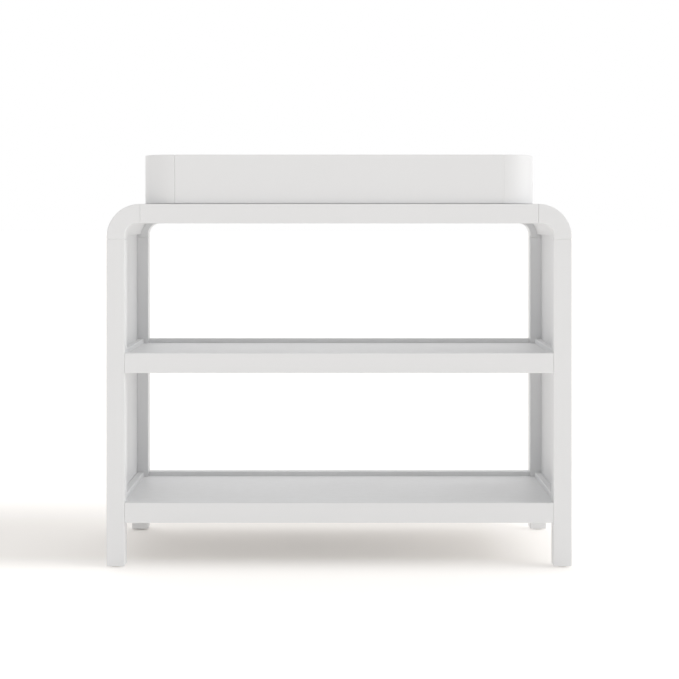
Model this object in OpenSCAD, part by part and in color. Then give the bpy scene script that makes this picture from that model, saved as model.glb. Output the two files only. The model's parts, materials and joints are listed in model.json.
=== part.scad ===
// Changing table with rounded corners, two open shelves and a lift-off changing tray.
// Millimetres. +X right, +Y towards the back, +Z up, floor at z = 0, centred on x and y.

/* [Table frame] */
// Width over the legs
table_w = 1016; // [800:1:1300]
// Depth over the legs
table_d = 483; // [400:1:620]
// Height of the frame from the floor
frame_h = 794; // [640:1:960]
// Side of a square leg
leg_w = 40; // [36:0.5:50]
// Height of the front and back top rails
top_rail_h = 42.5; // [38:0.5:56]
// Outer radius of the corner blocks
corner_r = 73; // [60:1:110]
// Straight part of a corner block below its arc
corner_skirt = 4; // [0:0.5:20]
// Radius of the hollow between a leg and the top rail
corner_hollow_r = 25; // [10:0.5:33]

/* [Shelves] */
// Floor to the underside of the bottom shelf
bottom_gap = 98; // [60:1:180]
// Height of the rails round each shelf
shelf_rail_h = 44; // [40:0.5:60]
// Thickness of the front and back shelf rails
shelf_rail_t = 28; // [24:0.5:34]
// Thickness of the side shelf rails
side_rail_t = 16; // [14:0.5:22]
// Depth of the shelf board below the top of its rails
shelf_recess = 11; // [4:0.5:14]
// Thickness of a shelf board
shelf_board_t = 15; // [12:0.5:18]

/* [Panels] */
// Thickness of the side panels
side_panel_t = 12; // [10:0.5:16]
// Thickness of the curved corner panels
curved_panel_t = 22; // [18:0.5:24]
// Lower edge of the curved panels above the centre of their arc
curved_panel_lip = 4; // [0:0.5:10]
// Thickness of the table top
top_panel_t = 18; // [16:0.5:22]
// How far the panels lie back from the faces of the frame
panel_reveal = 1; // [0.5:0.5:3]

/* [Changing tray] */
// Width of the tray
tray_w = 864; // [700:1:1000]
// How far the tray stands back from the front and back of the frame
tray_setback = 10; // [6:1:16]
// Height of the tray walls
tray_wall_h = 107.1; // [70:0.1:140]
// Thickness of the tray walls
tray_wall_t = 15; // [12:0.5:20]
// Outer radius of the tray corners
tray_r = 72; // [50:1:110]
// Thickness of the tray floor
tray_floor_t = 9; // [8:0.5:14]
// Underside of the tray floor above the lower edge of the walls
tray_floor_lift = 4; // [3:0.5:10]

/* [Joints and fasteners] */
// Diameter of the frame dowels
dowel_d = 8; // [6:0.5:9]
// Length of the frame dowels
dowel_l = 30; // [24:1:36]
// Diameter of the tray dowels
tray_dowel_d = 6; // [4:0.5:7]
// Length of the tray dowels
tray_dowel_l = 24; // [20:1:28]
// Thickness of the tongues on panels
tongue_t = 6; // [4:0.5:7]
// Length of the tongues on panels
tongue_l = 6; // [4:0.5:7]
// Diameter of a cam lock
cam_d = 15; // [12:0.5:16]
// Depth of a cam lock
cam_h = 12.5; // [11:0.5:14]
// Distance from a joint to the middle of its cam lock
cam_reach = 34; // [24:1:40]
// Diameter of the tray's locating pins
pin_d = 6; // [4:0.5:6.5]
// Length of a locating pin below the tray
pin_drop = 14; // [10:1:20]
// How far the locating pins stand from the middle
pin_x = 300; // [150:5:320]

/* [Hidden] */
$fn = 96;
fit = 0.1; // gap round glued and driven parts
board_gap = 0.3; // gap at the visible edge of a board set between rails
rest_gap = 0.3; // gap between the tray and the table
pin_gap = 0.3; // gap round a locating pin
end_gap = 1; // space past the end of a dowel or pin
tongue_gap = 0.25; // space past the end of a tongue

glide_d = 26;
glide_t = 3;
nail_d = 2.5;
nail_l = 12;

batten_w = 30;
batten_h = 16;
top_batten_x = table_w / 6;
screw_d = 3.5;
screw_l = 24;
screw_head_d = 7;
screw_head_h = 2.6;

cam_axis = 9.5; // cam pin above the lower face of its rail
cam_pin_d = 6;
cam_thread_l = 11;
cam_slot_w = 2;
cam_slot_h = 3;

bumper_d = 11;
bumper_t = 0.6;
bumper_x = 200;

half_w = table_w / 2;
half_d = table_d / 2;
rail_half_w = half_w - leg_w; // half the clear width between the legs
side_half_d = half_d - leg_w; // half the clear depth between the legs
leg_x = half_w - leg_w / 2;
leg_y = half_d - leg_w / 2;
top_rail_half_w = half_w - corner_r;
corner_h = corner_r + corner_skirt;
corner_z = frame_h - corner_h; // joint of leg and corner block
arc_z = frame_h - corner_r;
corner_inner_r = min(corner_hollow_r, corner_r - leg_w, corner_h - top_rail_h);
top_rail_z = frame_h - top_rail_h;
twin_pitch = leg_w - 22; // distance between the two dowels of a frame joint
groove_l = tongue_l + tongue_gap;

bottom_z = bottom_gap;
middle_z = (bottom_z + top_rail_z) / 2;
board_rebate = 7; // how far a shelf board's face stands above its tongue
shelf_tongue_t = shelf_board_t - board_rebate;
shelf_groove_l = 8;
shelf_tongue_l = shelf_groove_l - board_gap;
board_half_d = half_d - shelf_rail_t; // half the clear depth between front and back shelf rails
side_rail_x = half_w - panel_reveal - side_panel_t - side_rail_t; // inner face of a side shelf rail
rail_dowel_z = shelf_rail_h * 0.7;
side_dowel_z = 9;

panel_tongue_x = half_w - panel_reveal - side_panel_t / 2; // middle of the side panels
curved_z = arc_z + curved_panel_lip;
curved_outer_r = corner_r - panel_reveal;
curved_inner_r = curved_outer_r - curved_panel_t;
top_panel_z = frame_h - panel_reveal - top_panel_t;

tray_half_w = tray_w / 2;
tray_half_d = half_d - tray_setback;
tray_z = frame_h + rest_gap + bumper_t;
tray_corner_x = tray_half_w - tray_r;
tray_corner_y = tray_half_d - tray_r;
tray_inner_r = tray_r - tray_wall_t;
tray_floor_z = tray_z + tray_floor_lift;
tray_groove_l = 4;
tray_tongue_l = tray_groove_l - board_gap;
floor_rebate = 4; // how far the tray floor's face stands above its tongue
tray_tongue_t = tray_floor_t - floor_rebate;
wall_mid_y = tray_half_d - tray_wall_t / 2;

white = [0.93, 0.93, 0.92];
board_white = [0.9, 0.9, 0.89];
beech = [0.85, 0.7, 0.5];
zinc = [0.68, 0.69, 0.7];
steel = [0.5, 0.5, 0.52];
nylon = [0.25, 0.25, 0.26];
felt = [0.75, 0.74, 0.72];

// Places. Everything is drawn in the right back quarter (+X, +Y) and mirrored to its place.

module quarter(sx, sy) {
    mirror([sx < 0 ? 1 : 0, 0, 0])
        mirror([0, sy < 0 ? 1 : 0, 0])
            children();
}

module each_quarter() {
    for (sx = [-1, 1], sy = [-1, 1])
        quarter(sx, sy) children();
}

module along_x() {
    rotate([0, 90, 0]) children();
}

module along_y() {
    rotate([90, 0, 0]) children();
}

module in_leg_joint() {
    for (side = [-1, 1])
        translate([leg_x, leg_y + side * twin_pitch / 2, corner_z]) children();
}

module in_top_rail_joint() {
    for (side = [-1, 1])
        translate([top_rail_half_w, leg_y + side * twin_pitch / 2, top_rail_z + top_rail_h * 2 / 3])
            along_x() children();
}

module in_curved_panel_joint() {
    mid_r = (curved_outer_r + curved_inner_r) / 2;
    for (angle = [25, 65])
        translate([top_rail_half_w + mid_r * cos(angle), side_half_d, arc_z + mid_r * sin(angle)])
            along_y() children();
}

module in_shelf_rail_joint(z) {
    translate([rail_half_w, half_d - shelf_rail_t / 2, z + rail_dowel_z]) along_x() children();
}

module in_side_rail_joint(z) {
    translate([side_rail_x + side_rail_t / 2, side_half_d, z + side_dowel_z]) along_y() children();
}

module in_batten_joint(x, half_len, z) {
    for (sy = [-1, 1])
        translate([x, sy * half_len, z + batten_h / 2]) along_y() children();
}

module in_each_batten_joint() {
    for (sx = [-1, 1])
        in_batten_joint(sx * top_batten_x, side_half_d, top_panel_z - batten_h) children();
    for (z = [bottom_z, middle_z])
        in_batten_joint(0, board_half_d, shelf_batten_z(z)) children();
}

module in_batten_screws(x, z) {
    for (y = [-1, 0, 1])
        translate([x, y * side_half_d * 2 / 3, z]) children();
}

function shelf_groove_z(z) = z + shelf_rail_h - shelf_recess - shelf_board_t;
function shelf_batten_z(z) = shelf_groove_z(z) - batten_h;

// Fasteners and their holes

module dowel() {
    color(beech) cylinder(d = dowel_d, h = dowel_l, center = true);
}

module dowel_hole() {
    cylinder(d = dowel_d + 2 * fit, h = dowel_l + 2 * end_gap, center = true);
}

// A cam lock sits in the underside of a rail; its steel pin runs across the joint at x = joint.
module cam(joint, y, z) {
    color(zinc) translate([joint - cam_reach, y, z]) {
        difference() {
            cylinder(d = cam_d, h = cam_h);
            translate([0, 0, cam_axis]) along_x() cylinder(d = cam_pin_d + 2 * fit, h = cam_d);
            translate([-cam_d / 2, -cam_slot_w / 2, -1]) cube([cam_d, cam_slot_w, cam_slot_h + 1]);
        }
    }
}

module cam_pin(joint, y, z) {
    color(steel) translate([joint - cam_reach, y, z + cam_axis])
        along_x() cylinder(d = cam_pin_d, h = cam_reach + cam_thread_l);
}

module cam_holes(joint, y, z) {
    translate([joint - cam_reach, y, z - 1]) cylinder(d = cam_d + 2 * fit, h = cam_h + fit + 1);
    translate([joint - cam_reach, y, z + cam_axis])
        along_x() cylinder(d = cam_pin_d + 2 * fit, h = cam_reach + cam_thread_l + end_gap);
}

module batten_screw() {
    color(steel) {
        cylinder(d = screw_d, h = screw_l);
        cylinder(d1 = screw_head_d, d2 = screw_d, h = screw_head_h);
    }
}

module batten_screw_hole() {
    cylinder(d = screw_d + 2 * fit, h = screw_l + end_gap);
    translate([0, 0, -fit]) cylinder(d1 = screw_head_d + 2 * fit, d2 = screw_d + 2 * fit, h = screw_head_h);
}

module batten_screws() {
    for (sx = [-1, 1])
        in_batten_screws(sx * top_batten_x, top_panel_z - batten_h) batten_screw();
    for (z = [bottom_z, middle_z])
        in_batten_screws(0, shelf_batten_z(z)) batten_screw();
}

module shelf_rail_dowels() {
    for (z = [bottom_z, middle_z]) each_quarter() in_shelf_rail_joint(z) dowel();
}

module side_rail_dowels() {
    for (z = [bottom_z, middle_z]) each_quarter() in_side_rail_joint(z) dowel();
}

module shelf_cams() {
    for (z = [bottom_z, middle_z]) each_quarter() cam(rail_half_w, half_d - shelf_rail_t / 2, z);
}

module shelf_cam_pins() {
    for (z = [bottom_z, middle_z]) each_quarter() cam_pin(rail_half_w, half_d - shelf_rail_t / 2, z);
}

// Legs and corners

module panel_groove() {
    translate([panel_tongue_x - tongue_t / 2 - fit, side_half_d - 1, bottom_z - 1])
        cube([tongue_t + 2 * fit, groove_l + 1, curved_z + groove_l - bottom_z + 1]);
}

module leg(sx, sy) {
    color(white) quarter(sx, sy) difference() {
        translate([rail_half_w, side_half_d, glide_t]) cube([leg_w, leg_w, corner_z - glide_t]);
        translate([leg_x, leg_y, glide_t - 1]) cylinder(d = nail_d, h = nail_l + end_gap + 1);
        in_leg_joint() dowel_hole();
        panel_groove();
        for (z = [bottom_z, middle_z]) {
            in_shelf_rail_joint(z) dowel_hole();
            in_side_rail_joint(z) dowel_hole();
            cam_holes(rail_half_w, half_d - shelf_rail_t / 2, z);
        }
    }
}

module corner_outline() {
    difference() {
        union() {
            intersection() {
                translate([top_rail_half_w, arc_z]) circle(r = corner_r);
                translate([top_rail_half_w, arc_z]) square(corner_r);
            }
            translate([top_rail_half_w, corner_z]) square([corner_r, corner_skirt]);
        }
        translate([rail_half_w - corner_inner_r, top_rail_z - corner_inner_r]) circle(r = corner_inner_r);
        translate([top_rail_half_w - 1, corner_z - 1])
            square([corner_r - leg_w + 1, top_rail_z - corner_inner_r - corner_z + 1]);
        translate([top_rail_half_w - 1, corner_z - 1])
            square([corner_r - leg_w - corner_inner_r + 1, corner_h - top_rail_h + 1]);
    }
}

module corner_block(sx, sy) {
    color(white) quarter(sx, sy) difference() {
        translate([0, half_d, 0]) along_y() linear_extrude(leg_w) corner_outline();
        in_leg_joint() dowel_hole();
        in_top_rail_joint() dowel_hole();
        in_curved_panel_joint() dowel_hole();
        cam_holes(top_rail_half_w, leg_y, top_rail_z);
        panel_groove();
    }
}

module leg_glides() {
    color(nylon) each_quarter() translate([leg_x, leg_y, 0]) {
        cylinder(d = glide_d, h = glide_t);
        cylinder(d = nail_d, h = glide_t + nail_l);
    }
}

// Top of the table

module top_panel_groove() {
    translate([-half_w, side_half_d - 1, top_panel_z + (top_panel_t - tongue_t) / 2 - fit])
        cube([table_w, groove_l + 1, tongue_t + 2 * fit]);
}

module top_rail(sy) {
    color(white) difference() {
        quarter(1, sy) translate([-top_rail_half_w, side_half_d, top_rail_z])
            cube([2 * top_rail_half_w, leg_w, top_rail_h]);
        quarter(1, sy) top_panel_groove();
        in_each_batten_joint() dowel_hole();
        for (sx = [-1, 1]) quarter(sx, sy) {
            in_top_rail_joint() dowel_hole();
            cam_holes(top_rail_half_w, leg_y, top_rail_z);
            translate([pin_x, wall_mid_y, frame_h - pin_drop + rest_gap - end_gap])
                cylinder(d = pin_d + 2 * pin_gap, h = pin_drop + end_gap);
        }
    }
}

module curved_panel(sx) {
    color(white) quarter(sx, 1) difference() {
        translate([0, side_half_d, 0]) along_y() linear_extrude(2 * side_half_d) difference() {
            intersection() {
                translate([top_rail_half_w, arc_z]) circle(r = curved_outer_r);
                translate([top_rail_half_w, curved_z]) square(corner_r);
            }
            translate([top_rail_half_w, arc_z]) circle(r = curved_inner_r);
        }
        for (sy = [-1, 1]) quarter(1, sy) in_curved_panel_joint() dowel_hole();
        translate([panel_tongue_x - tongue_t / 2 - fit, -half_d, curved_z - 1])
            cube([tongue_t + 2 * fit, table_d, groove_l + 1]);
        translate([0, -half_d, top_panel_z + (top_panel_t - tongue_t) / 2 - fit])
            cube([top_rail_half_w + groove_l, table_d, tongue_t + 2 * fit]);
    }
}

module table_top_panel() {
    color(board_white) difference() {
        union() {
            translate([-top_rail_half_w, -side_half_d, top_panel_z])
                cube([2 * top_rail_half_w, 2 * side_half_d, top_panel_t]);
            translate([-top_rail_half_w - tongue_l, -side_half_d, top_panel_z + (top_panel_t - tongue_t) / 2])
                cube([2 * (top_rail_half_w + tongue_l), 2 * side_half_d, tongue_t]);
            translate([-top_rail_half_w, -side_half_d - tongue_l, top_panel_z + (top_panel_t - tongue_t) / 2])
                cube([2 * top_rail_half_w, 2 * (side_half_d + tongue_l), tongue_t]);
        }
        for (sx = [-1, 1])
            in_batten_screws(sx * top_batten_x, top_panel_z - batten_h) batten_screw_hole();
    }
}

module side_panel(sx) {
    color(white) quarter(sx, 1) {
        translate([half_w - panel_reveal - side_panel_t, -side_half_d, bottom_z])
            cube([side_panel_t, 2 * side_half_d, curved_z - bottom_z]);
        translate([panel_tongue_x - tongue_t / 2, -side_half_d - tongue_l, bottom_z])
            cube([tongue_t, 2 * (side_half_d + tongue_l), curved_z - bottom_z + tongue_l]);
    }
}

module batten(x, half_len, z) {
    color(board_white) difference() {
        translate([x - batten_w / 2, -half_len, z]) cube([batten_w, 2 * half_len, batten_h]);
        in_batten_joint(x, half_len, z) dowel_hole();
        in_batten_screws(x, z) batten_screw_hole();
    }
}

// Shelves. z is the underside of the shelf's rails.

module shelf_rail(sy, z) {
    color(white) difference() {
        quarter(1, sy) difference() {
            translate([-rail_half_w, board_half_d, z]) cube([2 * rail_half_w, shelf_rail_t, shelf_rail_h]);
            translate([-half_w, board_half_d - 1, shelf_groove_z(z) - fit])
                cube([table_w, shelf_groove_l + 1, shelf_tongue_t + 2 * fit]);
            in_batten_joint(0, board_half_d, shelf_batten_z(z)) dowel_hole();
        }
        for (sx = [-1, 1]) quarter(sx, sy) {
            in_shelf_rail_joint(z) dowel_hole();
            cam_holes(rail_half_w, half_d - shelf_rail_t / 2, z);
        }
    }
}

module side_rail(sx, z) {
    color(white) quarter(sx, 1) difference() {
        translate([side_rail_x, -side_half_d, z]) cube([side_rail_t, 2 * side_half_d, shelf_rail_h]);
        translate([side_rail_x - 1, -half_d, shelf_groove_z(z) - fit])
            cube([shelf_groove_l + 1, table_d, shelf_tongue_t + 2 * fit]);
        for (sy = [-1, 1]) quarter(1, sy) in_side_rail_joint(z) dowel_hole();
    }
}

// A plate that fills the space between the rails and steps round the legs, grown by the given amount.
module shelf_plate(grow, z, thickness) {
    main_x = rail_half_w - board_gap;
    side_x = side_rail_x + grow;
    main_y = board_half_d + grow;
    side_y = side_half_d - board_gap;
    translate([-main_x, -main_y, z]) cube([2 * main_x, 2 * main_y, thickness]);
    translate([-side_x, -side_y, z]) cube([2 * side_x, 2 * side_y, thickness]);
}

module shelf_board(z) {
    color(board_white) difference() {
        union() {
            shelf_plate(-board_gap, shelf_groove_z(z), shelf_board_t);
            shelf_plate(shelf_tongue_l, shelf_groove_z(z), shelf_tongue_t);
        }
        in_batten_screws(0, shelf_batten_z(z)) batten_screw_hole();
    }
}

// Changing tray

// Outline of the space inside the tray walls, grown by the given amount.
module tray_inside(grow) {
    square([2 * (tray_half_w - tray_wall_t + grow), 2 * tray_corner_y], center = true);
    square([2 * tray_corner_x, 2 * (tray_half_d - tray_wall_t + grow)], center = true);
    for (sx = [-1, 1], sy = [-1, 1])
        translate([sx * tray_corner_x, sy * tray_corner_y]) circle(r = tray_inner_r + grow);
}

module tray_floor_groove() {
    translate([0, 0, tray_floor_z - fit])
        linear_extrude(tray_tongue_t + 2 * fit) tray_inside(tray_groove_l);
}

module tray_dowel_pair() {
    for (share = [0.3, 0.75])
        translate([0, 0, tray_z + tray_wall_h * share]) children();
}

module in_tray_front_joint() {
    tray_dowel_pair() translate([tray_corner_x, wall_mid_y, 0]) along_x() children();
}

module in_tray_side_joint() {
    tray_dowel_pair() translate([tray_half_w - tray_wall_t / 2, tray_corner_y, 0]) along_y() children();
}

module tray_dowel() {
    color(beech) cylinder(d = tray_dowel_d, h = tray_dowel_l, center = true);
}

module tray_dowel_hole() {
    cylinder(d = tray_dowel_d + 2 * fit, h = tray_dowel_l + end_gap, center = true);
}

module tray_long_board(sy) {
    color(white) difference() {
        quarter(1, sy) translate([-tray_corner_x, tray_half_d - tray_wall_t, tray_z])
            cube([2 * tray_corner_x, tray_wall_t, tray_wall_h]);
        tray_floor_groove();
        for (sx = [-1, 1]) quarter(sx, sy) {
            in_tray_front_joint() tray_dowel_hole();
            translate([pin_x, wall_mid_y, tray_z - 1])
                cylinder(d = pin_d + 2 * fit, h = pin_drop + end_gap + 1);
        }
    }
}

module tray_short_board(sx) {
    color(white) difference() {
        quarter(sx, 1) translate([tray_half_w - tray_wall_t, -tray_corner_y, tray_z])
            cube([tray_wall_t, 2 * tray_corner_y, tray_wall_h]);
        tray_floor_groove();
        for (sy = [-1, 1]) quarter(sx, sy) in_tray_side_joint() tray_dowel_hole();
    }
}

module tray_corner(sx, sy) {
    color(white) difference() {
        quarter(sx, sy) translate([tray_corner_x, tray_corner_y, tray_z]) difference() {
            intersection() {
                cylinder(r = tray_r, h = tray_wall_h);
                cube([tray_r, tray_r, tray_wall_h]);
            }
            translate([0, 0, -1]) cylinder(r = tray_inner_r, h = tray_wall_h + 2);
        }
        tray_floor_groove();
        quarter(sx, sy) {
            in_tray_front_joint() tray_dowel_hole();
            in_tray_side_joint() tray_dowel_hole();
        }
    }
}

module tray_floor() {
    color(board_white) translate([0, 0, tray_floor_z]) {
        linear_extrude(tray_floor_t) tray_inside(-board_gap);
        linear_extrude(tray_tongue_t) tray_inside(tray_tongue_l);
    }
}

module tray_dowels() {
    each_quarter() {
        in_tray_front_joint() tray_dowel();
        in_tray_side_joint() tray_dowel();
    }
}

module tray_pins() {
    color(steel) each_quarter()
        translate([pin_x, wall_mid_y, tray_z - bumper_t - pin_drop])
            cylinder(d = pin_d, h = bumper_t + 2 * pin_drop);
}

module tray_bumpers() {
    color(felt) each_quarter()
        translate([bumper_x, wall_mid_y, tray_z - bumper_t]) cylinder(d = bumper_d, h = bumper_t);
}

leg(-1, -1);  // front_left_leg
leg(1, -1);  // front_right_leg
leg(-1, 1);  // back_left_leg
leg(1, 1);  // back_right_leg
corner_block(-1, -1);  // front_left_corner
corner_block(1, -1);  // front_right_corner
corner_block(-1, 1);  // back_left_corner
corner_block(1, 1);  // back_right_corner
top_rail(-1);  // front_top_rail
top_rail(1);  // back_top_rail
curved_panel(-1);  // left_curved_panel
curved_panel(1);  // right_curved_panel
table_top_panel();
side_panel(-1);  // left_side_panel
side_panel(1);  // right_side_panel
batten(-top_batten_x, side_half_d, top_panel_z - batten_h);  // left_top_batten
batten(top_batten_x, side_half_d, top_panel_z - batten_h);  // right_top_batten
shelf_rail(-1, middle_z);  // middle_shelf_front_rail
shelf_rail(1, middle_z);  // middle_shelf_back_rail
side_rail(-1, middle_z);  // middle_shelf_left_rail
side_rail(1, middle_z);  // middle_shelf_right_rail
shelf_board(middle_z);  // middle_shelf_board
batten(0, board_half_d, shelf_batten_z(middle_z));  // middle_shelf_batten
shelf_rail(-1, bottom_z);  // bottom_shelf_front_rail
shelf_rail(1, bottom_z);  // bottom_shelf_back_rail
side_rail(-1, bottom_z);  // bottom_shelf_left_rail
side_rail(1, bottom_z);  // bottom_shelf_right_rail
shelf_board(bottom_z);  // bottom_shelf_board
batten(0, board_half_d, shelf_batten_z(bottom_z));  // bottom_shelf_batten
leg_glides();
each_quarter() in_leg_joint() dowel();  // leg_dowels
each_quarter() in_top_rail_joint() dowel();  // top_rail_dowels
each_quarter() in_curved_panel_joint() dowel();  // curved_panel_dowels
shelf_rail_dowels();
side_rail_dowels();
in_each_batten_joint() dowel();  // batten_dowels
batten_screws();
each_quarter() cam(top_rail_half_w, leg_y, top_rail_z);  // top_rail_cams
each_quarter() cam_pin(top_rail_half_w, leg_y, top_rail_z);  // top_rail_cam_pins
shelf_cams();
shelf_cam_pins();
tray_long_board(-1);  // tray_front_board
tray_long_board(1);  // tray_back_board
tray_short_board(-1);  // tray_left_board
tray_short_board(1);  // tray_right_board
tray_corner(-1, -1);  // tray_front_left_corner
tray_corner(1, -1);  // tray_front_right_corner
tray_corner(-1, 1);  // tray_back_left_corner
tray_corner(1, 1);  // tray_back_right_corner
tray_floor();
tray_dowels();
tray_pins();
tray_bumpers();
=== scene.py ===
# White painted changing table: rounded frame corners, two open shelves and a lift-off tray.
import json
import math

import bmesh
import bpy
from mathutils import Matrix, Vector


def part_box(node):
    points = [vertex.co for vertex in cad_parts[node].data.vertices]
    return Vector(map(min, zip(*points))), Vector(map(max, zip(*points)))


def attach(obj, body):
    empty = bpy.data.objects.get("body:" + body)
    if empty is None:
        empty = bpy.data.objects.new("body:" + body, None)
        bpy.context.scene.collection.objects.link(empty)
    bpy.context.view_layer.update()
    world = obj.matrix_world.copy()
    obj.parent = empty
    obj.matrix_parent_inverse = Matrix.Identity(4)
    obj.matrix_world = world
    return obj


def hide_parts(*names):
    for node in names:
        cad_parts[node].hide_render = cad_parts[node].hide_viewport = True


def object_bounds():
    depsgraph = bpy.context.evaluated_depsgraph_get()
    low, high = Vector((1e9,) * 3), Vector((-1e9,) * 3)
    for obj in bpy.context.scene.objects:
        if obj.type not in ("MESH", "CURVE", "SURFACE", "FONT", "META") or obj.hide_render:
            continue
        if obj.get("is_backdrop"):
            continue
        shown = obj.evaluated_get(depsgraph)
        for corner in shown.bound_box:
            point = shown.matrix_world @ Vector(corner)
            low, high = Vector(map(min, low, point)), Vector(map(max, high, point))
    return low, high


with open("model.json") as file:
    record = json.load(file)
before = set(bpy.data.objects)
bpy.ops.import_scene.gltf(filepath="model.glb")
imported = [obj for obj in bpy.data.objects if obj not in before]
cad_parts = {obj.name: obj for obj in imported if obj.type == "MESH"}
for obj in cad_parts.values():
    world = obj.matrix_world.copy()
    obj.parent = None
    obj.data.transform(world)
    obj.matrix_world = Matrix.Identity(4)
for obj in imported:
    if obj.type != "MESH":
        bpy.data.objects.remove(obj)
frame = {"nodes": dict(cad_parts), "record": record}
cad_low, cad_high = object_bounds()
scene = bpy.context.scene


# Camera. It stands level in front of the table, a little below the top rails, and its lens
# is shifted down so that the legs stay upright in the picture.
camera_data = bpy.data.cameras.new("camera")
camera = bpy.data.objects.new("camera", camera_data)
scene.collection.objects.link(camera)
camera.location = (0, cad_low.y - 3.584, 0.75)
camera.rotation_euler = (math.pi / 2, 0, 0)
camera_data.sensor_width = 36
camera_data.lens = 87.1
camera_data.shift_x = 0.0005
camera_data.shift_y = -0.17
camera_data.clip_end = 200
scene.camera = camera


# Studio. Pale paper on the floor runs out of sight, and it is clear when seen from below. Its glow
# is painted light: faint by the table and stronger in front of it, behind it and to its right, so
# that the table's shadow shows only close to it and to its left. An even sky and wide soft suns light the
# rest.
scene.view_settings.view_transform = "Standard"
scene.view_settings.gamma = 1.3
world = bpy.data.worlds.new("studio")
scene.world = world
world.use_nodes = True
sky_light = world.node_tree.nodes["Background"]
sky_light.inputs["Color"].default_value = (1, 1, 1, 1)
sky_light.inputs["Strength"].default_value = 0.27
backdrop = world.node_tree.nodes.new("ShaderNodeBackground")
backdrop.inputs["Color"].default_value = (1, 1, 1, 1)
backdrop.inputs["Strength"].default_value = 1
ray = world.node_tree.nodes.new("ShaderNodeLightPath")
seen_or_lit = world.node_tree.nodes.new("ShaderNodeMixShader")
world.node_tree.links.new(ray.outputs["Is Camera Ray"], seen_or_lit.inputs["Fac"])
world.node_tree.links.new(sky_light.outputs["Background"], seen_or_lit.inputs[1])
world.node_tree.links.new(backdrop.outputs["Background"], seen_or_lit.inputs[2])
world.node_tree.links.new(seen_or_lit.outputs["Shader"],
                          world.node_tree.nodes["World Output"].inputs["Surface"])


def soft_sun(name, from_place, spread, strength):
    """A sun that shines from the given direction, softened over a spread in degrees."""
    lamp = bpy.data.lights.new(name, "SUN")
    lamp.angle = math.radians(spread)
    lamp.energy = strength
    sun = bpy.data.objects.new(name, lamp)
    sun.location = Vector(from_place) * 6
    sun.rotation_euler = Vector(from_place).to_track_quat("Z", "Y").to_euler()
    scene.collection.objects.link(sun)


soft_sun("key_sun", (1.1, -1.28, 1), 28, 0.21)
soft_sun("side_sun", (1, -0.3, 0.9), 40, 0.33)
soft_sun("low_side_sun", (1, -0.1, 0.25), 50, 1.34)
soft_sun("fill_sun", (-1, -0.6, 0.6), 90, 0.54)
soft_sun("back_sun", (0, 1, 0.8), 100, 1.58)


def new_sum(tree, operation, first, second=None, third=None):
    """A Math node on sockets or plain numbers; gives its output socket."""
    node = tree.nodes.new("ShaderNodeMath")
    node.operation = operation
    for socket, value in zip(node.inputs, (first, second, third)):
        if isinstance(value, (int, float)):
            socket.default_value = value
        elif value is not None:
            tree.links.new(value, socket)
    return node.outputs[0]


def new_range(tree, value, low, high, from_low=0.0, from_high=1.0, curve="LINEAR"):
    """Carries a socket's values from one range to another; gives its output socket."""
    node = tree.nodes.new("ShaderNodeMapRange")
    node.interpolation_type = curve
    node.inputs["From Min"].default_value = from_low
    node.inputs["From Max"].default_value = from_high
    node.inputs["To Min"].default_value = low
    node.inputs["To Max"].default_value = high
    tree.links.new(value, node.inputs["Value"])
    return node.outputs["Result"]


paper_mesh = bpy.data.meshes.new("floor_paper")
paper_bm = bmesh.new()
bmesh.ops.create_grid(paper_bm, x_segments=2, y_segments=2, size=150)
paper_bm.to_mesh(paper_mesh)
paper_bm.free()
paper = bpy.data.objects.new("floor_paper", paper_mesh)
scene.collection.objects.link(paper)
paper_material = bpy.data.materials.new("floor_paper")
paper_material.use_nodes = True
paper_shader = paper_material.node_tree.nodes["Principled BSDF"]
paper_shader.inputs["Base Color"].default_value = (0.95, 0.91, 0.865, 1)
paper_shader.inputs["Roughness"].default_value = 0.95
paper_shader.inputs["Specular IOR Level"].default_value = 0.1
paper_shader.inputs["Emission Color"].default_value = (1, 1, 1, 1)
paper_nodes = paper_material.node_tree
paper_place = paper_nodes.nodes.new("ShaderNodeSeparateXYZ")
paper_nodes.links.new(paper_nodes.nodes.new("ShaderNodeTexCoord").outputs["Object"], paper_place.inputs[0])
# Painted light: the paper glows faintly by the table and more away from it, which shapes its shadow.
painted_glow_near, painted_glow_away = 0.07, 0.32
before = new_range(paper_nodes, paper_place.outputs["Y"], 0, 1, -0.1, -0.34, "SMOOTHSTEP")
behind = new_range(paper_nodes, paper_place.outputs["Y"], 0, 1, 0.22, 0.85, "SMOOTHSTEP")
beside = new_range(paper_nodes, paper_place.outputs["X"], 0, 1, 0.3, 0.62, "SMOOTHSTEP")
away = new_sum(paper_nodes, "MAXIMUM", before, new_sum(paper_nodes, "MAXIMUM", behind, beside))
painted_floor_glow = new_sum(paper_nodes, "MULTIPLY_ADD", away, painted_glow_away, painted_glow_near)
paper_nodes.links.new(painted_floor_glow, paper_shader.inputs["Emission Strength"])
unseen = paper_nodes.nodes.new("ShaderNodeMixShader")
from_below = paper_nodes.nodes.new("ShaderNodeNewGeometry").outputs["Backfacing"]
paper_nodes.links.new(from_below, unseen.inputs["Fac"])
paper_nodes.links.new(paper_shader.outputs["BSDF"], unseen.inputs[1])
paper_nodes.links.new(paper_nodes.nodes.new("ShaderNodeBsdfTransparent").outputs["BSDF"], unseen.inputs[2])
paper_nodes.links.new(unseen.outputs["Shader"], paper_nodes.nodes["Material Output"].inputs["Surface"])
paper_mesh.materials.append(paper_material)
paper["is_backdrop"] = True


# Legs. Square solid timber, sanded, primed and sprayed with satin white lacquer; each stands
# on a glide, is grooved for a side panel and bored for its dowels and cam pins.
def new_node(tree, kind, **inputs):
    node = tree.nodes.new(kind)
    for name, value in inputs.items():
        node.inputs[name.replace("_", " ")].default_value = value
    return node


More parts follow.
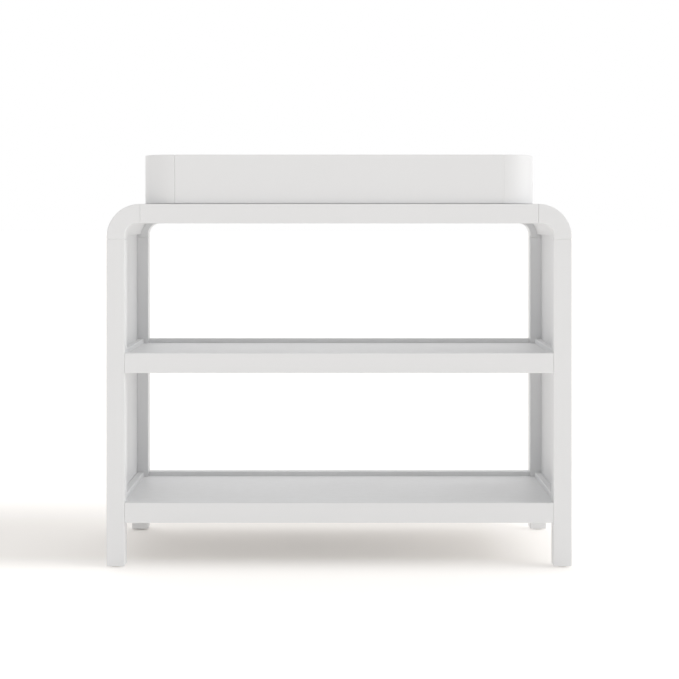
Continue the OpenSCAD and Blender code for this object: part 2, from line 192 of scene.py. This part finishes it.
def new_blend(tree, amount, first, second):
    """A colour mix on sockets or plain colours; gives its output socket."""
    node = tree.nodes.new("ShaderNodeMix")
    node.data_type = "RGBA"
    for socket, value in zip((node.inputs[0], node.inputs[6], node.inputs[7]), (amount, first, second)):
        if isinstance(value, (int, float, tuple)):
            socket.default_value = value
        else:
            tree.links.new(value, socket)
    return node.outputs[2]


def new_noise(tree, vector, scale, detail=2.0, roughness=0.5, distortion=0.0):
    node = new_node(tree, "ShaderNodeTexNoise", Scale=scale, Detail=detail, Roughness=roughness,
                    Distortion=distortion)
    tree.links.new(vector, node.inputs["Vector"])
    return node.outputs["Fac"]


def new_group(name, inputs, outputs):
    """An empty node group; gives its tree, its inputs by name and a call that sets an output."""
    tree = bpy.data.node_groups.new(name, "ShaderNodeTree")
    for socket, kind in inputs:
        tree.interface.new_socket(socket, in_out="INPUT", socket_type="NodeSocket" + kind)
    for socket, kind in outputs:
        tree.interface.new_socket(socket, in_out="OUTPUT", socket_type="NodeSocket" + kind)
    start = tree.nodes.new("NodeGroupInput")
    end = tree.nodes.new("NodeGroupOutput")
    return tree, start.outputs, lambda name, socket: tree.links.new(socket, end.inputs[name])


# Sprayed lacquer: orange peel and a slower ripple for the bump, a slow cloudiness for tone.
lacquer_tree, given, gives = new_group("sprayed_lacquer", [("Vector", "Vector")],
                                       [("Peel", "Float"), ("Cloud", "Float")])
peel = new_noise(lacquer_tree, given["Vector"], 520, 2, 0.4)
ripple = new_noise(lacquer_tree, given["Vector"], 90, 1, 0.3)
gives("Peel", new_sum(lacquer_tree, "MULTIPLY_ADD", ripple, 2.5, peel))
gives("Cloud", new_noise(lacquer_tree, given["Vector"], 6, 4, 0.55))

# Timber grain, as long pores and growth bands that run along the vector's X.
grain_tree, given, gives = new_group("timber_grain", [("Vector", "Vector")],
                                     [("Pores", "Float"), ("Bands", "Float")])
long_way = new_node(grain_tree, "ShaderNodeMapping", Scale=(4, 150, 150))
grain_tree.links.new(given["Vector"], long_way.inputs["Vector"])
gives("Pores", new_noise(grain_tree, long_way.outputs["Vector"], 4, 5, 0.65, 0.3))
band_way = new_node(grain_tree, "ShaderNodeMapping", Scale=(0.8, 16, 16))
grain_tree.links.new(given["Vector"], band_way.inputs["Vector"])
gives("Bands", new_noise(grain_tree, band_way.outputs["Vector"], 5, 3, 0.5, 0.8))

# Settled dust: a mask that is strongest on faces that look up, broken up into soft specks.
dust_tree, given, gives = new_group("settled_dust", [("Vector", "Vector")], [("Mask", "Float")])
facing = dust_tree.nodes.new("ShaderNodeSeparateXYZ")
dust_tree.links.new(dust_tree.nodes.new("ShaderNodeNewGeometry").outputs["Normal"], facing.inputs[0])
upward = new_range(dust_tree, facing.outputs["Z"], 0, 1, 0.7, 1)
specks = new_range(dust_tree, new_noise(dust_tree, given["Vector"], 45, 5, 0.7), 0, 1, 0.4, 0.75)
gives("Mask", new_sum(dust_tree, "MULTIPLY", upward, specks))

# Rubbed arris: a mask on faces that turn from one side of a board to the next. The weights
# say which directions count, since a curved face turns in its own plane as well.
arris_tree, given, gives = new_group("rubbed_arris", [("Vector", "Vector"), ("Weights", "Vector")],
                                     [("Mask", "Float")])
turned_to = arris_tree.nodes.new("ShaderNodeSeparateXYZ")
arris_tree.links.new(arris_tree.nodes.new("ShaderNodeNewGeometry").outputs["Normal"], turned_to.inputs[0])
weight = arris_tree.nodes.new("ShaderNodeSeparateXYZ")
arris_tree.links.new(given["Weights"], weight.inputs[0])
slant = 0.0
for axis in "XYZ":
    square = new_sum(arris_tree, "MULTIPLY", turned_to.outputs[axis], turned_to.outputs[axis])
    rest = new_sum(arris_tree, "SUBTRACT", 1.0, square)
    both = new_sum(arris_tree, "MULTIPLY", square, rest)
    slant = new_sum(arris_tree, "MULTIPLY_ADD", both, weight.outputs[axis], slant)
patches = new_range(arris_tree, new_noise(arris_tree, given["Vector"], 60, 4, 0.6), 0.4, 1, 0.35, 0.65)
gives("Mask", new_sum(arris_tree, "MULTIPLY", new_range(arris_tree, slant, 0, 1, 0.05, 0.4), patches))

paint_white = (0.77, 0.774, 0.781, 1)
paint_shade = (0.75, 0.755, 0.762, 1)
paint_thin = (0.728, 0.727, 0.722, 1)
dust_grey = (0.705, 0.704, 0.7, 1)
along = {"x": (0, 0, 0), "y": (0, 0, math.pi / 2), "z": (0, math.pi / 2, 0)}


def place_group(tree, group, vector):
    node = tree.nodes.new("ShaderNodeGroup")
    node.node_tree = group
    tree.links.new(vector, node.inputs["Vector"])
    return node


def new_material(name, rough=0.5, specular=0.5, metal=0.0):
    """A material, its tree, its shader and its object-space vector."""
    material = bpy.data.materials.new(name)
    material.use_nodes = True
    tree = material.node_tree
    shader = tree.nodes["Principled BSDF"]
    shader.inputs["Roughness"].default_value = rough
    shader.inputs["Specular IOR Level"].default_value = specular
    shader.inputs["Metallic"].default_value = metal
    return material, tree, shader, tree.nodes.new("ShaderNodeTexCoord").outputs["Object"]


def give_bump(tree, shader, height, strength, distance):
    bump = new_node(tree, "ShaderNodeBump", Strength=strength, Distance=distance)
    tree.links.new(height, bump.inputs["Height"])
    tree.links.new(bump.outputs["Normal"], shader.inputs["Normal"])


def satin_lacquer(name, grain_along=None, arris_weights=(1, 1, 1)):
    """Satin white lacquer; over solid timber the grain still shows faintly through it."""
    material, tree, shader, place = new_material(name, specular=0.45)
    coat = place_group(tree, lacquer_tree, place)
    dust = place_group(tree, dust_tree, place)
    arris = place_group(tree, arris_tree, place)
    arris.inputs["Weights"].default_value = arris_weights
    tone = new_blend(tree, coat.outputs["Cloud"], paint_shade, paint_white)
    height = coat.outputs["Peel"]
    if grain_along:
        turn = new_node(tree, "ShaderNodeMapping", Rotation=along[grain_along])
        tree.links.new(place, turn.inputs["Vector"])
        timber = place_group(tree, grain_tree, turn.outputs["Vector"])
        bands = new_range(tree, timber.outputs["Bands"], 0, 0.25, 0.45, 0.7)
        tone = new_blend(tree, bands, tone, paint_shade)
        height = new_sum(tree, "MULTIPLY_ADD", timber.outputs["Pores"], 2.2, height)
    tone = new_blend(tree, new_sum(tree, "MULTIPLY", arris.outputs["Mask"], 0.55), tone, paint_thin)
    tone = new_blend(tree, new_sum(tree, "MULTIPLY", dust.outputs["Mask"], 0.25), tone, dust_grey)
    tree.links.new(tone, shader.inputs["Base Color"])
    gloss = new_range(tree, coat.outputs["Cloud"], 0.4, 0.5, 0.3, 0.7)
    gloss = new_sum(tree, "MULTIPLY_ADD", arris.outputs["Mask"], -0.08, gloss)
    gloss = new_sum(tree, "MULTIPLY_ADD", dust.outputs["Mask"], 0.16, gloss)
    tree.links.new(gloss, shader.inputs["Roughness"])
    give_bump(tree, shader, height, 0.1, 0.0004)
    return material


# Bare timber, as it shows inside bores and grooves that the spray doesn't reach.
bare_timber, tree, shader, place = new_material("bare_timber", rough=0.72, specular=0.3)
timber = place_group(tree, grain_tree, place)
wood_tone = new_blend(tree, timber.outputs["Bands"], (0.62, 0.47, 0.31, 1), (0.5, 0.35, 0.21, 1))
wood_tone = new_blend(tree, new_range(tree, timber.outputs["Pores"], 0, 0.5, 0.5, 0.75), wood_tone,
                      (0.36, 0.24, 0.14, 1))
tree.links.new(wood_tone, shader.inputs["Base Color"])
tree.links.new(new_range(tree, timber.outputs["Pores"], 0.62, 0.8), shader.inputs["Roughness"])
give_bump(tree, shader, timber.outputs["Pores"], 0.3, 0.0003)

lacquered_x = satin_lacquer("lacquered_timber_x", "x")
lacquered_y = satin_lacquer("lacquered_timber_y", "y")
lacquered_z = satin_lacquer("lacquered_timber_z", "z")

body_of = {node: body for body, nodes in frame["record"]["behaviour"]["bodies"].items() for node in nodes}


def finish_piece(name, bm, materials, *nodes):
    """Makes the piece, rides it on its nodes' body and lets it stand for those nodes."""
    mesh = bpy.data.meshes.new(name)
    bm.normal_update()
    bm.to_mesh(mesh)
    bm.free()
    if mesh.has_custom_normals:
        mesh.attributes.remove(mesh.attributes["custom_normal"])
    for material in materials:
        mesh.materials.append(material)
    mesh.polygons.foreach_set("use_smooth", [True] * len(mesh.polygons))
    mesh.set_sharp_from_angle(angle=math.radians(40))
    piece = bpy.data.objects.new(name, mesh)
    scene.collection.objects.link(piece)
    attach(piece, body_of[nodes[0]])
    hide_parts(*nodes)
    return piece


def lacquered_part(node, lacquer, free=0.002, joint=0.0015, joint_planes=(), planes=(), arcs=()):
    """A painted part: the CAD part with its arrises eased, and bare timber in its bores and
    grooves. Outer faces are those on the part's outermost planes, on extra planes given as
    (axis, place), and on arcs given as (axis, centre, radius). Edges between outer faces are
    eased by free, or by joint where they lie in a joint plane."""
    bm = bmesh.new()
    bm.from_mesh(frame["nodes"][node].data)
    bmesh.ops.remove_doubles(bm, verts=bm.verts, dist=1e-6)
    bmesh.ops.dissolve_limit(bm, angle_limit=math.radians(0.5), verts=bm.verts, edges=bm.edges)
    low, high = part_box(node)
    flats = [(axis, corner[axis]) for axis in range(3) for corner in (low, high)] + list(planes)
    bm.normal_update()
    for face in bm.faces:
        middle = face.calc_center_median()
        outer = any(abs(face.normal[axis]) > 0.999 and abs(middle[axis] - place) < 1e-5
                    for axis, place in flats)
        for axis, centre, radius in arcs:
            flat = [middle[i] for i in range(3) if i != axis]
            outer = outer or (abs(face.normal[axis]) < 0.01 and abs(math.dist(flat, centre) - radius) < 3e-4)
        face.material_index = 0 if outer else 1
    easing = bm.edges.layers.float.new("bevel_weight_edge")
    for edge in bm.edges:
        if len(edge.link_faces) != 2 or any(face.material_index for face in edge.link_faces):
            continue
        if edge.calc_face_angle_signed(0) > math.radians(50):
            in_joint = any(all(abs(vertex.co[axis] - place) < 1e-5 for vertex in edge.verts)
                           for axis, place in joint_planes)
            edge[easing] = joint / max(free, joint) if in_joint else free / max(free, joint)
    piece = finish_piece(node + "_part", bm, (lacquer, bare_timber), node)
    arris = piece.modifiers.new("eased_arrises", "BEVEL")
    arris.limit_method = "WEIGHT"
    arris.width = max(free, joint)
    arris.segments = 3
    arris.use_clamp_overlap = False
    arris.harden_normals = True
    return piece


for node in ("front_left_leg", "front_right_leg", "back_left_leg", "back_right_leg"):
    low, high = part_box(node)
    lacquered_part(node, lacquered_z, free=0.0022, joint=0.0012, joint_planes=((2, low.z), (2, high.z)))


# Corner blocks. Each is a quarter ring of solid timber, bandsawn and shaped, that turns the
# leg into the top rail; dowels and glue hold it to both and it is lacquered like them.
lacquered_corner = satin_lacquer("lacquered_corner", "x", (0, 1, 0))
corner_outer_r = 0.073
corner_inner_r = 0.025
leg_inner_x, top_rail_h = 0.468, 0.0425
for side, sign in (("left", -1), ("right", 1)):
    for end in ("front", "back"):
        node = f"{end}_{side}_corner"
        low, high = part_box(node)
        rail_end = low.x if sign > 0 else high.x
        leg_inside, rail_under = sign * leg_inner_x, high.z - top_rail_h
        lacquered_part(node, lacquered_corner, free=0.0018, joint=0.002,
                       joint_planes=((2, low.z), (0, rail_end)),
                       planes=((0, leg_inside), (2, rail_under)),
                       arcs=((1, (rail_end, high.z - corner_outer_r), corner_outer_r),
                             (1, (leg_inside - sign * corner_inner_r, rail_under - corner_inner_r),
                              corner_inner_r)))


# Top rails. Straight lengths of the same timber between the corner blocks, grooved inside
# for the table top and bored on top for the tray's pins.
for node in ("front_top_rail", "back_top_rail"):
    low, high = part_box(node)
    lacquered_part(node, lacquered_x, free=0.0012, joint=0.002, joint_planes=((0, low.x), (0, high.x)))


# Panels. The sides and the top are smooth board between the two frames; a bent panel at each
# top corner joins them. Tongues hold all of them in the grooves, a millimetre below the frame.
lacquered_board = satin_lacquer("lacquered_board")
lacquered_bend = satin_lacquer("lacquered_bend", None, (0, 0.6, 0))
panel_half_depth = 0.2015
bend_x, bend_z = 0.435, 0.721 # centre of the bend; the side panels end a little above it
side_panel_top = 0.725
bend_inner_r, bend_outer_r = 0.05, 0.072
panel_ends = ((1, panel_half_depth), (1, -panel_half_depth))
for side, sign in (("left", -1), ("right", 1)):
    lacquered_part(f"{side}_side_panel", lacquered_board, free=0.0014, joint=0.0008,
                   joint_planes=((2, side_panel_top),), planes=panel_ends + ((2, side_panel_top),))
    lacquered_part(f"{side}_curved_panel", lacquered_bend, free=0.0014, joint=0.0008,
                   joint_planes=((2, side_panel_top), (0, sign * bend_x)),
                   planes=panel_ends + ((2, side_panel_top), (0, sign * bend_x)),
                   arcs=((1, (sign * bend_x, bend_z), bend_outer_r),
                         (1, (sign * bend_x, bend_z), bend_inner_r)))
lacquered_part("table_top_panel", lacquered_board, free=0.0012, joint=0.0008,
               joint_planes=((0, bend_x), (0, -bend_x)), planes=panel_ends + ((0, bend_x), (0, -bend_x)))


# Battens. Strips of timber under the table top and under each shelf board, doweled into the
# long rails so that a board can't sag, and screwed to it from below.
for node in ("left_top_batten", "right_top_batten", "middle_shelf_batten", "bottom_shelf_batten"):
    lacquered_part(node, lacquered_y, free=0.0012)


# Shelves. Each is a frame of four timber rails round a smooth board that lies in their grooves
# a little below the rails' top, so that nothing rolls off.
for shelf in ("middle_shelf", "bottom_shelf"):
    for rail in ("front_rail", "back_rail"):
        low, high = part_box(f"{shelf}_{rail}")
        lacquered_part(f"{shelf}_{rail}", lacquered_x, free=0.0018, joint=0.0014,
                       joint_planes=((0, low.x), (0, high.x)))
    for rail in ("left_rail", "right_rail"):
        low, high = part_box(f"{shelf}_{rail}")
        lacquered_part(f"{shelf}_{rail}", lacquered_y, free=0.002, joint=0.0012,
                       joint_planes=((1, low.y), (1, high.y)))
    lacquered_part(f"{shelf}_board", lacquered_board, free=0, joint=0.0008)


# Tray. Four straight boards and four bent corners, doweled end to end round a floor board that
# lies in their groove; it stands on the top rails and lifts off.
lacquered_tray_bend = satin_lacquer("lacquered_tray_bend", None, (0, 0, 1))
tray_joint = 0.0018
tray_outer_r, tray_inner_r = 0.072, 0.057
for node, lacquer in (("tray_front_board", lacquered_x), ("tray_back_board", lacquered_x),
                      ("tray_left_board", lacquered_y), ("tray_right_board", lacquered_y)):
    low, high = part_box(node)
    ends = ((0, low.x), (0, high.x)) if lacquer is lacquered_x else ((1, low.y), (1, high.y))
    lacquered_part(node, lacquer, free=0.0012, joint=tray_joint, joint_planes=ends)
for end, end_sign in (("front", -1), ("back", 1)):
    for side, sign in (("left", -1), ("right", 1)):
        node = f"tray_{end}_{side}_corner"
        low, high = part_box(node)
        centre = (low.x if sign > 0 else high.x, low.y if end_sign > 0 else high.y)
        lacquered_part(node, lacquered_tray_bend, free=0.0012, joint=tray_joint,
                       joint_planes=((0, centre[0]), (1, centre[1])),
                       arcs=((2, centre, tray_outer_r), (2, centre, tray_inner_r)))
lacquered_part("tray_floor", lacquered_board, free=0, joint=0.0008)


# Dowels. Fluted beech pegs with chamfered ends, glued into facing bores wherever two pieces of
# the frame, a shelf or the tray meet; the flutes let the glue spread.
def solids_of(node):
    """The boxes of a node's separate solids, each as its low and high corner."""
    bm = bmesh.new()
    bm.from_mesh(frame["nodes"][node].data)
    bmesh.ops.remove_doubles(bm, verts=bm.verts, dist=1e-6)
    boxes = []
    waiting = set(bm.verts)
    while waiting:
        reached = [waiting.pop()]
        for vertex in reached:
            for edge in vertex.link_edges:
                other = edge.other_vert(vertex)
                if other in waiting:
                    waiting.discard(other)
                    reached.append(other)
        boxes.append((Vector([min(v.co[i] for v in reached) for i in range(3)]),
                      Vector([max(v.co[i] for v in reached) for i in range(3)])))
    bm.free()
    return sorted(boxes, key=lambda box: tuple(round(value, 5) for value in box[0]))


def turn_up(bm, outline, steps, foot, direction, material=0, flute=None, recess=None):
    """Adds a turned piece to the bmesh: an outline of (radius, distance) points spun about the
    axis that runs from its foot in a direction. flute, a (radius, scale) pair, draws in every
    other line of points at that radius; recess, an (arm, half width) pair, makes a cross of
    the round hole whose radius is the arm."""
    turned = bmesh.new()
    line = [turned.verts.new((radius, 0, distance)) for radius, distance in outline]
    for first, second in zip(line, line[1:]):
        turned.edges.new((first, second))
    bmesh.ops.spin(turned, geom=turned.verts[:] + turned.edges[:], cent=(0, 0, 0), axis=(0, 0, 1),
                   angle=math.tau, steps=steps, use_merge=True)
    bmesh.ops.remove_doubles(turned, verts=turned.verts, dist=1e-7)
    bmesh.ops.recalc_face_normals(turned, faces=turned.faces)
    for vertex in turned.verts:
        radius = math.hypot(vertex.co.x, vertex.co.y)
        step = round(math.atan2(vertex.co.y, vertex.co.x) / math.tau * steps)
        scale = 1.0
        if flute and step % 2 and abs(radius - flute[0]) < 1e-5:
            scale = flute[1]
        if recess and abs(radius - recess[0]) < 1e-5:
            off_arm = abs((step + steps // 8) % (steps // 4) - steps // 8) / steps * math.tau
            if off_arm:
                scale = min(1.0, recess[1] / math.sin(off_arm) / recess[0])
        vertex.co.x *= scale
        vertex.co.y *= scale
    for face in turned.faces:
        face.material_index = material
    turn = Vector(direction).to_track_quat("Z", "Y").to_matrix().to_4x4()
    bmesh.ops.transform(turned, matrix=Matrix.Translation(foot) @ turn, verts=turned.verts)
    spare = bpy.data.meshes.new("turned")
    turned.to_mesh(spare)
    turned.free()
    bm.from_mesh(spare)
    bpy.data.meshes.remove(spare)


def beech(name, grain_along):
    """Plain beech: pinkish tan with short dark pores along the grain."""
    material, tree, shader, place = new_material(name, rough=0.6, specular=0.35)
    turn = new_node(tree, "ShaderNodeMapping", Rotation=along[grain_along])
    tree.links.new(place, turn.inputs["Vector"])
    timber = place_group(tree, grain_tree, turn.outputs["Vector"])
    tone = new_blend(tree, timber.outputs["Bands"], (0.68, 0.48, 0.31, 1), (0.58, 0.38, 0.23, 1))
    flecks = new_range(tree, timber.outputs["Pores"], 0, 0.6, 0.55, 0.75)
    tree.links.new(new_blend(tree, flecks, tone, (0.4, 0.25, 0.15, 1)), shader.inputs["Base Color"])
    tree.links.new(new_range(tree, timber.outputs["Pores"], 0.5, 0.72), shader.inputs["Roughness"])
    give_bump(tree, shader, timber.outputs["Pores"], 0.3, 0.0002)
    return material


beech_ways = [beech("beech_" + way, way) for way in "xyz"]
for node in ("leg_dowels", "top_rail_dowels", "curved_panel_dowels", "shelf_rail_dowels",
             "side_rail_dowels", "batten_dowels", "tray_dowels"):
    bm = bmesh.new()
    for low, high in solids_of(node):
        size = high - low
        way = max(range(3), key=lambda i: size[i])
        length, r = size[way], min(size) / 2
        foot = (low + high) / 2
        foot[way] = low[way]
        chamfer = r * 0.22
        outline = [(0, 0), (r - chamfer, 0), (r, chamfer * 1.6), (r, length - chamfer * 1.6),
                   (r - chamfer, length), (0, length)]
        direction = Vector((0, 0, 0))
        direction[way] = 1
        turn_up(bm, outline, 24, foot, direction, material=way, flute=(r, 0.93))
    finish_piece(node + "_fluted", bm, beech_ways, node)


# Cam locks. Die-cast zinc discs let into the undersides of the rails, each with a cross slot for
# the screwdriver and a waist that draws in the head of its pin.
zinc, tree, shader, place = new_material("die_cast_zinc", rough=0.42, metal=1.0)
casting = new_noise(tree, place, 900, 4, 0.6)
bloom = new_noise(tree, place, 140, 3, 0.5)
tone = new_blend(tree, bloom, (0.56, 0.57, 0.58, 1), (0.7, 0.7, 0.69, 1))
tree.links.new(tone, shader.inputs["Base Color"])
tree.links.new(new_range(tree, casting, 0.34, 0.56, 0.3, 0.7), shader.inputs["Roughness"])
give_bump(tree, shader, casting, 0.25, 0.00008)
for node in ("top_rail_cams", "shelf_cams"):
    bm = bmesh.new()
    for low, high in solids_of(node):
        r, tall = (high.x - low.x) / 2, high.z - low.z
        foot = ((low.x + high.x) / 2, (low.y + high.y) / 2, low.z)
        outline = [(0, 0.0022), (0.0036, 0.0022), (0.0036, 0), (r - 0.0006, 0), (r, 0.0006), (r, 0.0024),
                   (r - 0.0014, 0.0032), (r - 0.0014, tall - 0.0032), (r, tall - 0.0024),
                   (r, tall - 0.0006), (r - 0.0006, tall), (0, tall)]
        turn_up(bm, outline, 32, foot, (0, 0, 1), recess=(0.0036, 0.0008))
    finish_piece(node + "_cast", bm, (zinc,), node)


# Cam pins. Plated steel, screwed into a leg or a corner block by a coarse thread, with a thin
# neck and a round head at the free end that the cam hooks behind.
plated_steel, tree, shader, place = new_material("plated_steel", rough=0.3, metal=1.0)
scuffs = new_noise(tree, place, 600, 5, 0.7, 0.4)
tone = new_blend(tree, scuffs, (0.6, 0.61, 0.62, 1), (0.74, 0.74, 0.74, 1))
tree.links.new(tone, shader.inputs["Base Color"])
tree.links.new(new_range(tree, scuffs, 0.22, 0.4, 0.3, 0.7), shader.inputs["Roughness"])
give_bump(tree, shader, scuffs, 0.15, 0.00004)


def thread(start, end, outer_r, root_r, pitch):
    """The outline of a thread as a row of ridges between two distances."""
    turns = round((end - start) / pitch)
    points = []
    for count in range(turns):
        points += [(root_r, start + (count + 0.1) * pitch), (outer_r, start + (count + 0.55) * pitch)]
    return points + [(root_r, end)]


for node in ("top_rail_cam_pins", "shelf_cam_pins"):
    bm = bmesh.new()
    for low, high in solids_of(node):
        r, length = (high.z - low.z) / 2, high.x - low.x
        outward = 1 if low.x + high.x > 0 else -1
        foot = (high.x if outward > 0 else low.x, (low.y + high.y) / 2, (low.z + high.z) / 2)
        outline = [(0, 0), (r * 0.6, 0)] + thread(0.0006, 0.0105, r, r * 0.72, 0.0018)
        outline += [(r, 0.0112), (r, 0.013), (r * 0.72, 0.0134), (r * 0.72, length - 0.0075),
                    (r * 0.5, length - 0.0068), (r * 0.5, length - 0.0042), (r * 0.86, length - 0.0034),
                    (r, length - 0.002), (r * 0.86, length - 0.0006), (r * 0.5, length), (0, length)]
        turn_up(bm, outline, 16, foot, (-outward, 0, 0))
    finish_piece(node + "_turned", bm, (plated_steel,), node)


# Batten screws. Countersunk plated screws with a cross recess, driven up through each batten
# into the board that it carries.
bm = bmesh.new()
for low, high in solids_of("batten_screws"):
    head_r, length = (high.x - low.x) / 2, high.z - low.z
    foot = ((low.x + high.x) / 2, (low.y + high.y) / 2, low.z)
    outline = [(0, 0.0016), (0.0017, 0.0013), (0.0017, 0), (head_r - 0.0002, 0), (head_r, 0.0002),
               (head_r * 0.5, 0.0026)]
    outline += thread(0.003, length - 0.004, head_r * 0.5, head_r * 0.34, 0.0014) + [(0, length)]
    turn_up(bm, outline, 32, foot, (0, 0, 1), recess=(0.0017, 0.0004))
finish_piece("batten_screws_turned", bm, (plated_steel,), "batten_screws")


# Glides. White nylon discs with a rounded rim, each nailed into the end of a leg, that the
# table stands and slides on.
nylon, tree, shader, place = new_material("white_nylon", rough=0.45, specular=0.4)
wear = new_noise(tree, place, 220, 5, 0.65)
tree.links.new(new_blend(tree, new_range(tree, wear, 0, 1, 0.4, 0.75), (0.72, 0.71, 0.68, 1),
                         (0.55, 0.54, 0.51, 1)), shader.inputs["Base Color"])
tree.links.new(new_range(tree, wear, 0.38, 0.6), shader.inputs["Roughness"])
give_bump(tree, shader, wear, 0.2, 0.00006)
glide_thickness = 0.003
bm = bmesh.new()
for low, high in solids_of("leg_glides"):
    r, length = (high.x - low.x) / 2, high.z - low.z
    foot = ((low.x + high.x) / 2, (low.y + high.y) / 2, low.z)
    outline = [(0, 0.0003), (r * 0.2, 0.0003), (r * 0.24, 0), (r - 0.0016, 0), (r - 0.0007, 0.0002),
               (r - 0.0002, 0.0007), (r, 0.0015), (r, glide_thickness), (0.00125, glide_thickness),
               (0.00125, length - 0.0025), (0, length)]
    turn_up(bm, outline, 40, foot, (0, 0, 1))
finish_piece("leg_glides_moulded", bm, (nylon,), "leg_glides")


# Tray pins. Smooth steel pegs pressed up into the tray's long boards; their bevelled lower ends
# drop into the top rails and keep the tray from sliding.
bm = bmesh.new()
for low, high in solids_of("tray_pins"):
    r, length = (high.x - low.x) / 2, high.z - low.z
    foot = ((low.x + high.x) / 2, (low.y + high.y) / 2, low.z)
    outline = [(0, 0), (r * 0.55, 0), (r * 0.72, 0.0002), (r * 0.96, 0.0012), (r, 0.002),
               (r, length - 0.0005), (r - 0.0005, length), (0, length)]
    turn_up(bm, outline, 32, foot, (0, 0, 1))
finish_piece("tray_pins_turned", bm, (plated_steel,), "tray_pins")


# Bumpers. Round pads of pressed white felt, stuck under the tray's long boards, that carry it
# and keep its paint off the rails.
felt, tree, shader, place = new_material("pressed_felt", rough=0.95, specular=0.1)
fibres = new_noise(tree, place, 1500, 4, 0.7, 1.5)
tone = new_blend(tree, fibres, (0.6, 0.59, 0.56, 1), (0.78, 0.77, 0.74, 1))
tree.links.new(tone, shader.inputs["Base Color"])
give_bump(tree, shader, fibres, 0.5, 0.0002)
bm = bmesh.new()
for low, high in solids_of("tray_bumpers"):
    r, thick = (high.x - low.x) / 2, high.z - low.z
    foot = ((low.x + high.x) / 2, (low.y + high.y) / 2, low.z)
    outline = [(0, 0), (r - 0.0004, 0), (r - 0.0001, thick * 0.2), (r, thick * 0.5), (r, thick * 0.8),
               (r - 0.0002, thick), (0, thick)]
    turn_up(bm, outline, 28, foot, (0, 0, 1))
finish_piece("tray_bumpers_cut", bm, (felt,), "tray_bumpers")


low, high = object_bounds()
